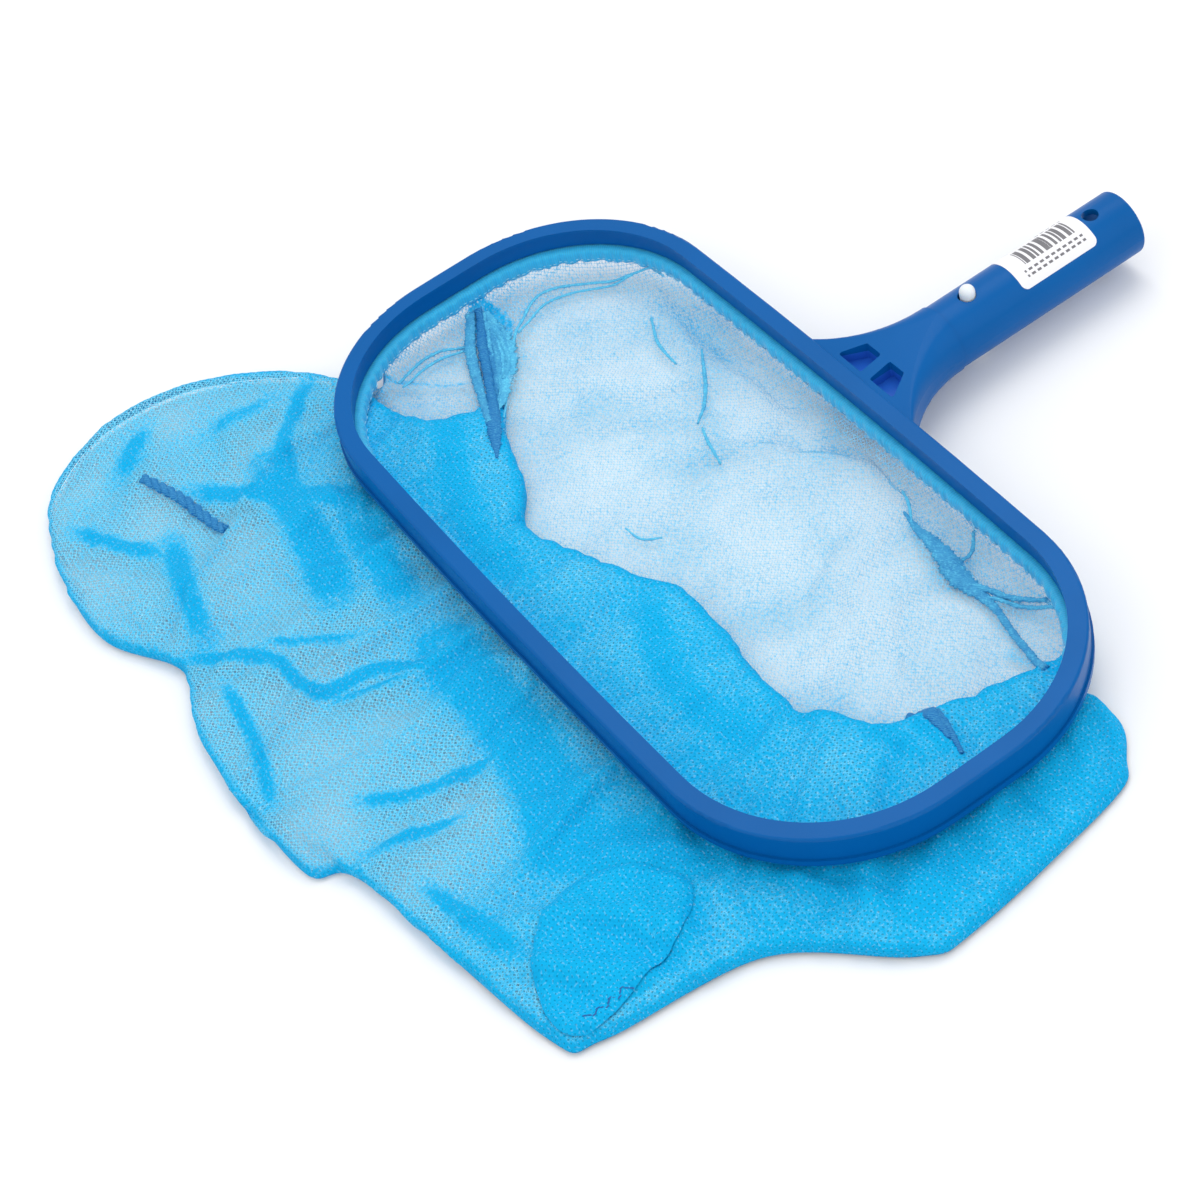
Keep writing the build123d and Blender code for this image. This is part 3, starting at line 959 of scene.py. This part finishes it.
def gather_paint(light, dark):
    """Net drawn up tight: yarn across the strand, deeper in colour where the gather is thick."""
    paint = Paint("gathered_net", Roughness=0.6, Specular_IOR_Level=0.15)
    x, y, _ = paint.xyz()
    wobble = paint.noise(300.0, 2.0)
    yarn = (x * 0.8 - y + wobble * (2.0 * MM)).wave(0.9 * MM)
    shade = (paint.attribute("shade") + (wobble - 0.5) * 0.5).ramp(0.0, 1.0)
    fleck = paint.noise(1100.0, 1.0).ramp(0.52, 0.68) * (1 - shade * 0.8)
    colour = paint.blend(shade, light, dark)
    pale = [min(1, c * 1.5 + 0.06) for c in light]
    paint.set("Base Color", paint.blend((1 - yarn) * 0.25 + fleck * 0.5, colour, pale))
    paint.bump(yarn, 0.12 * MM, 0.8)
    return paint.material


def steel_paint(colour):
    paint = Paint("clip_steel", Metallic=1.0, Roughness=0.3)
    x, y, _ = paint.xyz()
    stretched = paint.add("ShaderNodeCombineXYZ", None, {0: x * 900.0, 1: y * 25.0})
    lines = paint.add("ShaderNodeTexNoise", None, {"Vector": stretched, "Scale": 1.0, "Detail": 3.0})
    paint.set("Base Color", paint.blend(lines, colour, [c * 0.75 for c in colour]))
    paint.set("Roughness", 0.22 + lines * 0.2)
    return paint.material


def button_paint(colour):
    paint = Paint("button_white", Roughness=0.35, Subsurface_Weight=0.1)
    tone = paint.noise(400.0, 2.0)
    paint.set("Base Color", paint.blend(tone * 0.4, colour, [c * 0.9 for c in colour]))
    paint.bump(tone, 0.03 * MM, 0.5)
    return paint.material


def label_paint(colour):
    """A paper label with plain bars round the tube and three rows of short dashes."""
    paint = Paint("label_paper", Roughness=0.42)
    x, y, _ = paint.xyz()
    low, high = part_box("label")
    centre_y, half_l, half_w = (low.y + high.y) / 2, (high.y - low.y) / 2, (high.x - low.x) / 2
    v = (y - centre_y) / half_l
    u = x / half_w
    wide = ((y + 0.3 * MM).wave(2.3 * MM) < 0.48).top((y + 1.1 * MM).wave(3.7 * MM) < 0.30)
    bars = wide * (v > -0.62) * (v < 0.72) * (u > -0.62) * (u < 0.30)
    dash = ((y + 0.1 * MM).wave(2.9 * MM) < 0.62) * (v > -0.75) * (v < 0.8)
    rows = ((abs(u - 0.52) < 0.045).top(abs(u - 0.70) < 0.04)).top((abs(u + 0.78) < 0.035) * (v > 0.1)) * dash
    ink = bars.top(rows)
    corner = 3.0 * MM
    past_end = (abs(y - centre_y) - (half_l - corner)).top(0.0)
    past_side = (paint.add("ShaderNodeMath", {"operation": "ARCSINE"}, {0: abs(x) * (1 / LABEL_R)}) * LABEL_R
                 - (math.asin(half_w / LABEL_R) * LABEL_R - corner)).top(0.0)
    paint.set("Alpha", (past_end * past_end + past_side * past_side) < corner * corner)
    tone = paint.noise(700.0, 2.0)
    plain = paint.blend(tone * 0.25, colour, [c * 0.93 for c in colour])
    paint.set("Base Color", paint.blend(ink * 0.86, plain, (0.045, 0.04, 0.05)))
    paint.bump(tone, 0.02 * MM, 0.4)
    return paint.material


# ---------------------------------------------------------------- operators
class SKIMMER_OT_frame(bpy.types.Operator):
    """Finish the moulded frame, the net retainer and the cord in the hem"""
    bl_idname = "skimmer.frame"
    bl_label = "Frame"

    def execute(self, context):
        s = context.scene.skimmer_frame
        nodes = frame["nodes"]
        moulded = plastic_paint("frame_plastic", list(s.plastic), list(s.window_shade), s.roughness)
        dress(nodes["frame"], moulded)
        dress(nodes["net_retainer"], moulded)
        dress(nodes["hem_cord"], thread_paint("hem_cord_braid", (0.02, 0.25, 0.6)))
        return {"FINISHED"}


class SKIMMER_OT_clip(bpy.types.Operator):
    """Finish the spring clip, its buttons and the label"""
    bl_idname = "skimmer.clip"
    bl_label = "Clip and label"

    def execute(self, context):
        s = context.scene.skimmer_clip
        nodes = frame["nodes"]
        steel = steel_paint(list(s.steel))
        for name in ("clip_bend", "clip_leg_top", "clip_leg_bottom"):
            dress(nodes[name], steel)
        white = button_paint(list(s.button))
        for name in ("button_top", "button_bottom"):
            dress(nodes[name], white)
        dress(nodes["label"], label_paint(list(s.paper)))
        return {"FINISHED"}


def skirt_heights(verts, floor_z, reach):
    """Heights of a panel that leaves the hem at the skirt's top and meets the floor further in."""
    inside = np.maximum(depth_inside(verts) - SKIRT_INSET, 0)
    return floor_z + (SKIRT_TOP - floor_z) * np.exp(-(inside / reach) ** 1.3)


def on_line(cut, line):
    """Which points of a cut lie on a line."""
    return distance_to(cut, line) < ON_LINE


def lay_lower(obj, cut, on_rim, s, below):
    """On the floor, and up to the hem where no bag lies beyond the rim."""
    on_hem = ~in_bag(cut) & ~in_folded(cut)
    heights = LOWER_LIE + ruffle(cut, 3, 0.6 * MM) * 0.4
    skirt = skirt_heights(cut, LOWER_LIE, SKIRT_REACH)
    past_fold = np.clip(1 - distance_to(cut, fold_line) / FOLD_REACH, 0, 1)
    to_hem = depth_inside(cut) > SKIRT_INSET - ON_LINE
    rise = np.where(in_folded(cut), past_fold, 1.0) * to_hem
    place_heights(obj, heights + (skirt - LOWER_LIE) * rise)
    flat_map(obj, cut * (1 + s.slack))
    held = (on_rim & on_hem) | (on_line(cut, bag_loop) & ~in_mouth(cut))
    settle(obj, np.where(held, 1.0, 0.0), near_edge(cut, bag_loop), s.slack, s.frames, below)


def lay_upper(obj, cut, on_rim, s, below):
    """The same cut, turned over at the fold and lying on the lower ply."""
    at_fold, at_bag_rim = on_line(cut, fold_line), on_line(cut, bag_loop)
    heights = UPPER_LIE + ruffle(cut, 8, 1.0 * MM)
    heights = np.where(at_bag_rim & ~in_mouth(cut), BAG_RIM_LIE, np.where(at_fold, FOLD_LIE, heights))
    place_heights(obj, heights)
    flat_map(obj, cut * (1 + s.slack))
    pins = np.where(at_fold | at_bag_rim, 1.0, np.where(on_rim, 0.7, 0.0))
    tight = np.maximum(near_edge(cut, bag_loop), near_edge(cut, fold_line))
    settle(obj, pins, tight, s.slack * LAID_SLACK, s.frames, below)


def lay_inner(obj, cut, on_rim, s, below):
    """From the hem at the rim's outer side in to the fold."""
    base = INNER_LIE + ruffle(cut, 15, 0.8 * MM)
    skirt = skirt_heights(cut, INNER_LIE, SKIRT_REACH)
    level = np.clip(distance_to(cut, fold_line) / FOLD_REACH, 0, 1)
    place_heights(obj, np.maximum(INNER_FOLD_LIE + (base - INNER_FOLD_LIE) * level,
                                  skirt - 2.0 * MM * (1 - level)))
    flat_map(obj, cut * (1 + s.slack))
    held = on_rim | on_line(cut, fold_line)
    settle(obj, np.where(held, 1.0, 0.0), near_edge(cut, fold_line), s.slack, s.frames, below)


def lay_corner(plies):
    """The corner that is folded over, laid on the settled plies."""
    outline = np.vstack([flap_loop, flap_loop[:1]])
    obj, cut = panel("net_corner_ply", in_flap, [outline], 2.6 * MM)
    area = flat_area(obj)
    place_heights(obj, np.zeros(len(cut)))
    flat_map(obj, cut)
    finer(obj)
    at = read_points(obj)
    from_edge = distance_to(at[:, :2], outline)
    rolled = np.exp(-((from_edge - 3 * MM) / (3 * MM)) ** 2)
    low = heights_on(surface_trees(plies), at[:, :2])
    at[:, 2] = low + 0.5 * MM + np.clip(from_edge / (3 * MM), 0, 1) * 0.9 * MM + rolled * 1.0 * MM
    at[:, 2] += ruffle(at[:, :2], 21, 0.7 * MM) * np.clip(from_edge / (8 * MM), 0, 1)
    write_points(obj, at)
    # The crease value makes the yarn denser and adds painted shade along the corner's bends.
    store(obj, "crease", creases(obj, 0.4 * MM) * 0.6)
    store(obj, "gather", np.full(len(at), 0.95))
    return obj, cut, area


def draw_together(obj, folds, share, beside_rim):
    """Smooths and folds a settled ply, and stores how creased and how gathered it is at each point."""
    finer(obj)
    bend = creases(obj, 0.5 * MM)
    near = raise_folds(obj, folds, 1.5 * MM)
    # The crease value makes the yarn denser and adds painted shade along creases and folds.
    store(obj, "crease", np.maximum(bend * 0.7, near * (0.5 if share else 0.1)))
    at = read_points(obj)[:, :2]
    gather = share + near * (0.9 if share else 0.2)
    gather = gather + np.clip(1 - distance_to(at, bag_loop) / (2.5 * MM), 0, 1) * 0.5
    gather = gather + np.clip(1 - distance_to(at, fold_line) / (4 * MM), 0, 1) * (0.4 if share else 0.0)
    outside = np.clip(-depth_inside(at), 0, 1)
    gather = gather + beside_rim * np.exp(-(outside / (36 * MM)) ** 2)
    if obj.name == "net_lower_ply":
        gather = gather + 0.6 * inside_loop(at, smooth_line(SIDE_LOBE, 3 * MM, closed=True))
    if obj.name == "net_upper_ply":
        gather = gather + 0.4 * np.clip((at[:, 0] - 60 * MM) / (50 * MM), 0, 1)
    store(obj, "gather", np.clip(gather, 0, 1))


class SKIMMER_OT_net(bpy.types.Operator):
    """Cut, gather and settle the plies of the bag"""
    bl_idname = "skimmer.net"
    bl_label = "Net bag"

    def execute(self, context):
        s = context.scene.skimmer_net
        rim = rim_line(SKIRT_INSET, 2.5 * MM)
        rim = np.vstack([rim, rim[:1]])
        rows = [rim_line(SKIRT_INSET + inset * MM, 2.6 * MM) for inset in (2.0, 4.2, 6.8, 9.8)]
        floor = ground("settling_floor", 0.6, 0.0)
        lower, lower_cut = panel("net_lower_ply", in_lower, [bag_loop, rim], s.spacing, rows)
        upper, upper_cut = panel("net_upper_ply", in_upper, [bag_loop, rim, fold_line], 0.86 * s.spacing)
        inner, inner_cut = panel("net_inner_ply", in_inner, [rim, fold_line], s.spacing, rows)
        areas = {o.name: flat_area(o) for o in (lower, upper, inner)}
        for lay, obj, cut, below in ((lay_lower, lower, lower_cut, [floor]),
                                     (lay_upper, upper, upper_cut, [floor, lower]),
                                     (lay_inner, inner, inner_cut, [floor, lower, upper])):
            on_rim = np.abs(depth_inside(cut) - SKIRT_INSET) < 0.2 * MM
            lay(obj, cut, on_rim, s, below)
        bpy.data.objects.remove(floor)

        draw_together(lower, LOWER_FOLDS, 0.0, 0.0)
        draw_together(upper, UPPER_FOLDS, 0.20, 0.22)
        draw_together(inner, INNER_FOLDS, 0.66, 0.0)
        corner, corner_cut, areas["net_corner_ply"] = lay_corner([lower, upper])
        # The lower ply takes the single ply's yarn; the others take the folded colour, the same yarn painted
        # brighter against the shade between plies.
        for obj, yarn in ((lower, s.thin), (upper, s.folded), (inner, s.folded), (corner, s.folded)):
            obj.data.shade_smooth()
            dress(obj, net_paint(obj.name + "_mesh", s, yarn))
            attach(obj, "root")
        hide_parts("net_lower_panel")
        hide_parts("net_upper_panel")
        for obj, cut, share, held, on in ((lower, lower_cut, 1.0, "gathered", "hem_binding"),
                                          (upper, upper_cut, LAID_SLACK, "laid", "net_lower_ply"),
                                          (inner, inner_cut, 1.0, "gathered", "hem_binding"),
                                          (corner, corner_cut, 0.0, "folded", "net_upper_ply")):
            grown = 1 + s.slack * share
            size = (cut.max(0) - cut.min(0)) * grown
            areas[obj.name] * grown ** 2
        return {"FINISHED"}


class SKIMMER_OT_hem(bpy.types.Operator):
    """Loft the puckered hem and sew its row of stitches"""
    bl_idname = "skimmer.hem"
    bl_label = "Hem"

    def execute(self, context):
        s = context.scene.skimmer_hem
        rings, along = hem_rings(s.pucker, s.pucker_length)
        count, n = rings.shape[:2]
        faces = [(r * n + k, r * n + (k + 1) % n, (r + 1) % count * n + (k + 1) % n, (r + 1) % count * n + k)
                 for r in range(count) for k in range(n)]
        hem = solid("net_hem", rings.reshape(-1, 3), faces)
        layer = hem.data.uv_layers.new(name="cut")
        for loop in hem.data.loops:
            ring, k = divmod(loop.vertex_index, n)
            layer.data[loop.index].uv = (along[ring], k * 1.6 * MM)
        dress(hem, hem_paint(list(s.colour)))
        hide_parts("hem_binding")

        inward = rings[:, HEM_STITCH_ROW] - rings[:, 0]
        inward[:, 2] = 0
        inward /= np.linalg.norm(inward, axis=1)[:, None]
        row = rings[:, HEM_STITCH_ROW] + inward * 0.12 * MM
        thread = thread_paint("hem_thread", (0.30, 0.66, 0.88))
        stitches = StitchTree(thread).sew("hem_stitches", [np.vstack([row, row[:1]])],
                                          Pitch=s.stitch_pitch, Length=s.stitch_pitch * 0.62)
        for obj in (hem, stitches):
            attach(obj, "root")
        return {"FINISHED"}


class SKIMMER_OT_seams(bpy.types.Operator):
    """Gather the side seams, the twisted end seam and the pinched folds, and sew the corner"""
    bl_idname = "skimmer.seams"
    bl_label = "Seams and gathers"

    def execute(self, context):
        s = context.scene.skimmer_seam
        plies = [bpy.data.objects[name] for name in ("net_lower_ply", "net_upper_ply", "net_inner_ply")]
        trees = surface_trees(plies)
        paint = gather_paint(list(s.light), list(s.dark))

        def piece(name, lines, seed):
            return gathered(name, [(strand(path, trees, s.gathers, seed + k), shade)
                                   for k, (path, shade) in enumerate(lines)])

        left = piece("left_gathers", LEFT_SEAM, 10)
        right = piece("right_gathers", RIGHT_SEAM, 30)
        turns = [strand(END_SEAM, trees, s.gathers, 50 + k, k * math.pi, 11 * MM, 1.1 * MM) for k in (0, 1)]
        twist = gathered("end_twist", [(turn, 0.95) for turn in turns])
        pinches = piece("pinched_folds", PINCHES, 60)
        pleats = piece("dark_pleats", DARK_PLEATS, 70)
        for obj, node in ((left, "side_seam_left"), (right, "side_seam_right"), (twist, "end_seam")):
            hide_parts(node)
        thread = thread_paint("seam_thread", (0.0, 0.10, 0.34))
        line = even_line(smooth_line(FLAP_STITCHES, 1 * MM), s.stitch)
        zigzag = line + (np.arange(len(line)) % 2)[:, None] * np.array([2.2 * MM, 0.4 * MM])
        corner = surface_trees([bpy.data.objects["net_corner_ply"]])
        high = heights_on(corner, zigzag) + 0.15 * MM
        sewn = StitchTree(thread).sew("corner_stitches", [np.column_stack([zigzag, high])],
                                      Pitch=1.7 * MM, Length=1.9 * MM, Thickness=0.6 * MM)
        for obj in (left, right, twist, pinches, pleats):
            dress(obj, paint)
        for obj in (left, right, twist, pinches, pleats, sewn):
            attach(obj, "root")
        return {"FINISHED"}


class SKIMMER_OT_stage(bpy.types.Operator):
    """Set the pale floor, the soft lights and the camera"""
    bl_idname = "skimmer.stage"
    bl_label = "Stage"

    def execute(self, context):
        s = context.scene.skimmer_stage
        scene = context.scene
        floor = ground("floor", 3.0, -0.3 * MM)
        paint = Paint("pale_floor", Roughness=0.9, Specular_IOR_Level=0.1)
        tone = paint.noise(3.0, 2.0)
        paint.set("Base Color", paint.blend(tone * 0.3, [s.floor] * 3, [s.floor * 0.985] * 3))
        dress(floor, paint.material)
        world = bpy.data.worlds.new("studio")
        world.use_nodes = True
        back = world.node_tree.nodes["Background"]
        back.inputs["Color"].default_value = (0.95, 0.97, 1.0, 1.0)
        back.inputs["Strength"].default_value = 0.84
        scene.world = world
        for name, place, size, power in (("key", (-0.5, 0.5, 1.5), 1.2, 9.0),
                                         ("fill", (1.4, 0.6, 1.2), 1.6, 5.0),
                                         ("front", (0.3, -1.4, 1.1), 1.4, 4.0)):
            light = bpy.data.lights.new(name, "AREA")
            light.size = size
            light.energy = power
            lamp = bpy.data.objects.new(name, light)
            lamp.matrix_world = looking(Vector(place), Vector((0, -0.05, 0)), 0.0)
            scene.collection.objects.link(lamp)
        target = Vector(s.target)
        flat = math.cos(s.elevation)
        out = Vector((math.cos(s.azimuth) * flat, math.sin(s.azimuth) * flat, math.sin(s.elevation)))
        camera = bpy.data.objects.new("camera", bpy.data.cameras.new("camera"))
        camera.data.lens = s.lens
        camera.data.sensor_width = 36.0
        camera.data.clip_start = 0.01
        camera.matrix_world = looking(target + out * s.distance, target, s.roll)
        scene.collection.objects.link(camera)
        scene.camera = camera
        scene.view_settings.view_transform = "Standard"
        return {"FINISHED"}


def ground(name, half, z):
    mesh = bpy.data.meshes.new(name)
    corners = [(-half, -half, z), (half, -half, z), (half, half, z), (-half, half, z)]
    mesh.from_pydata(corners, [], [(0, 1, 2, 3)])
    obj = bpy.data.objects.new(name, mesh)
    bpy.context.scene.collection.objects.link(obj)
    return obj


def looking(place, target, roll):
    """A matrix that looks from a place at a target, leaning by roll."""
    turn = (target - place).to_track_quat("-Z", "Y").to_matrix().to_4x4()
    return Matrix.Translation(place) @ turn @ Matrix.Rotation(roll, 4, "Z")


class SKIMMER_PT_panel(bpy.types.Panel):
    """Shows each build step's button and its settings"""
    bl_idname = "SKIMMER_PT_panel"
    bl_label = "Leaf Skimmer Net"
    bl_space_type = "VIEW_3D"
    bl_region_type = "UI"
    bl_category = "Skimmer Net"

    def draw(self, context):
        for operator, group in BUILDS:
            box = self.layout.box()
            box.operator(operator)
            settings = getattr(context.scene, group)
            for name in settings.__annotations__:
                box.prop(settings, name)


GROUPS = {"skimmer_frame": FrameSettings, "skimmer_net": NetSettings, "skimmer_hem": HemSettings,
          "skimmer_seam": SeamSettings, "skimmer_clip": ClipSettings, "skimmer_stage": StageSettings}
BUILDS = [("skimmer.frame", "skimmer_frame"), ("skimmer.clip", "skimmer_clip"),
          ("skimmer.net", "skimmer_net"), ("skimmer.hem", "skimmer_hem"),
          ("skimmer.seams", "skimmer_seam"), ("skimmer.stage", "skimmer_stage")]
CLASSES = [*GROUPS.values(), SKIMMER_OT_frame, SKIMMER_OT_clip, SKIMMER_OT_net, SKIMMER_OT_hem,
           SKIMMER_OT_seams, SKIMMER_OT_stage, SKIMMER_PT_panel]


def register():
    for cls in CLASSES:
        bpy.utils.register_class(cls)
    for name, group in GROUPS.items():
        setattr(bpy.types.Scene, name, bpy.props.PointerProperty(type=group))


def unregister():
    for name in GROUPS:
        delattr(bpy.types.Scene, name)
    for cls in reversed(CLASSES):
        bpy.utils.unregister_class(cls)


def main():
    register()
    for operator, _ in BUILDS:
        area, verb = operator.split(".")
        getattr(getattr(bpy.ops, area), verb)()


if __name__ == "__main__":
    main()
